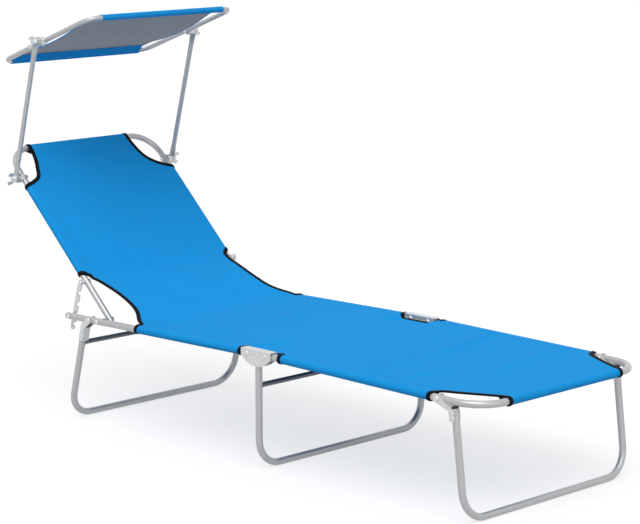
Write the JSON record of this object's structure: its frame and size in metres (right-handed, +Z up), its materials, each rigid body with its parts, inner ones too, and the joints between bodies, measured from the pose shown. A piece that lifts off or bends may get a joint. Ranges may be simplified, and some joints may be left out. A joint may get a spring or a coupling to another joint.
{
  "type": "sun lounger with canopy",
  "caption": "Folding steel-tube sun lounger with a blue sling, an adjustable backrest, three U-shaped legs and a tilting canopy on two arms.",
  "frame": {"origin": "on the floor under the middle of the object", "axes": "+Z up, +Y towards the head end, +X to the right of a person lying on their back with their feet at -Y"},
  "size_m": [0.5904, 1.7124, 1.0353],
  "materials": {
    "frame": "light grey powder coat, satin",
    "plate": "zinc plated sheet, satin",
    "bright": "zinc plated, satin",
    "cap": "black moulded plastic",
    "seat_cloth": "blue coated weave",
    "back_cloth": "blue coated weave",
    "canopy_cloth": "blue coated weave, silver grey underneath"
  },
  "bodies": {
    "seat_frame": {"seat_tube_left": "frame", "seat_tube_right": "frame", "strut_pin_left": "bright", "strut_pin_right": "bright", "rear_leg_rivet_left": "bright", "rear_leg_rivet_right": "bright", "backrest_pivot_left": "bright", "backrest_pivot_right": "bright", "seat_cloth": "seat_cloth", "bridge_cloth": "seat_cloth"},
    "centre_leg": {"hinge_bracket_left": "plate", "hinge_bracket_right": "plate", "hinge_rivet_seat_left": "bright", "hinge_rivet_seat_right": "bright", "hinge_rivet_foot_left": "bright", "hinge_rivet_foot_right": "bright", "centre_leg_tube": "frame", "centre_brace": "frame", "hinge_cloth": "seat_cloth"},
    "foot_frame": {"foot_tube": "frame", "front_leg_rivet_left": "bright", "front_leg_rivet_right": "bright", "foot_cloth": "seat_cloth"},
    "rear_leg": {"rear_leg_tube": "frame", "rear_brace": "frame", "rear_bracket_left": "plate", "rear_bracket_right": "plate", "rear_cap_left": "cap", "rear_cap_right": "cap"},
    "front_leg": {"front_leg_tube": "frame", "front_bracket_left": "plate", "front_bracket_right": "plate", "front_cap_left": "cap", "front_cap_right": "cap"},
    "backrest": {"backrest_tube": "frame", "strut_stud_left": "bright", "strut_stud_right": "bright", "saddle_lower_left": "bright", "saddle_lower_right": "bright", "backrest_cloth": "back_cloth"},
    "support_left": {"strut_left": "plate"},
    "support_right": {"strut_right": "plate"},
    "canopy_arms": {"arm_left": "frame", "arm_right": "frame", "disc_lower_left": "bright", "disc_lower_right": "bright", "disc_upper_left": "bright", "disc_upper_right": "bright", "bolt_lower_left": "bright", "bolt_lower_right": "bright", "bolt_upper_left": "bright", "bolt_upper_right": "bright"},
    "canopy": {"canopy_tube": "frame", "saddle_upper_left": "bright", "saddle_upper_right": "bright", "canopy_cloth": "canopy_cloth"},
    "nut_lower_left": {"wing_nut_lower_left": "bright"},
    "nut_lower_right": {"wing_nut_lower_right": "bright"},
    "nut_upper_left": {"wing_nut_upper_left": "bright"},
    "nut_upper_right": {"wing_nut_upper_right": "bright"}
  },
  "joints": [
    {"name": "centre_fold", "type": "hinge", "parent": "seat_frame", "child": "centre_leg", "pos_m": [0, -0.12632, 0.28], "axis": [1, 0, 0], "range_deg": [0, 84]},
    {"name": "foot_fold", "type": "hinge", "parent": "centre_leg", "child": "foot_frame", "pos_m": [0, -0.18632, 0.28], "axis": [1, 0, 0], "range_deg": [0, 84]},
    {"name": "rear_leg_fold", "type": "hinge", "parent": "seat_frame", "child": "rear_leg", "pos_m": [0, 0.46062, 0.27119], "axis": [-1, 0, 0], "range_deg": [0, 100]},
    {"name": "front_leg_fold", "type": "hinge", "parent": "foot_frame", "child": "front_leg", "pos_m": [0, -0.72625, 0.27189], "axis": [1, 0, 0], "range_deg": [0, 100]},
    {"name": "recline", "type": "hinge", "parent": "seat_frame", "child": "backrest", "pos_m": [0, 0.42922, 0.27166], "axis": [1, 0, 0], "range_deg": [-43.7, 85], "deforming": ["bridge_cloth"]},
    {"name": "support_left_swing", "type": "hinge", "parent": "backrest", "child": "support_left", "pos_m": [-0.266, 0.51902, 0.35747], "axis": [1, 0, 0], "range_deg": [-26, 14]},
    {"name": "support_right_swing", "type": "hinge", "parent": "backrest", "child": "support_right", "pos_m": [0.266, 0.51902, 0.35747], "axis": [1, 0, 0], "range_deg": [-26, 14]},
    {"name": "arms_tilt", "type": "hinge", "parent": "backrest", "child": "canopy_arms", "pos_m": [0, 0.77241, 0.59962], "axis": [-1, 0, 0], "range_deg": [-75, 90]},
    {"name": "canopy_tilt", "type": "hinge", "parent": "canopy_arms", "child": "canopy", "pos_m": [0, 0.67451, 0.95996], "axis": [1, 0, 0], "range_deg": [-90, 90]},
    {"name": "nut_lower_left_turn", "type": "hinge", "parent": "canopy_arms", "child": "nut_lower_left", "pos_m": [-0.275, 0.77241, 0.59962], "axis": [-1, 0, 0], "continuous": true},
    {"name": "nut_lower_right_turn", "type": "hinge", "parent": "canopy_arms", "child": "nut_lower_right", "pos_m": [0.275, 0.77241, 0.59962], "axis": [1, 0, 0], "continuous": true},
    {"name": "nut_upper_left_turn", "type": "hinge", "parent": "canopy_arms", "child": "nut_upper_left", "pos_m": [-0.275, 0.67451, 0.95996], "axis": [-1, 0, 0], "continuous": true},
    {"name": "nut_upper_right_turn", "type": "hinge", "parent": "canopy_arms", "child": "nut_upper_right", "pos_m": [0.275, 0.67451, 0.95996], "axis": [1, 0, 0], "continuous": true}
  ],
  "couplings": [
    {"joint": "support_left_swing", "follows": "recline", "ratio": -0.3},
    {"joint": "support_right_swing", "follows": "recline", "ratio": -0.3}
  ]
}
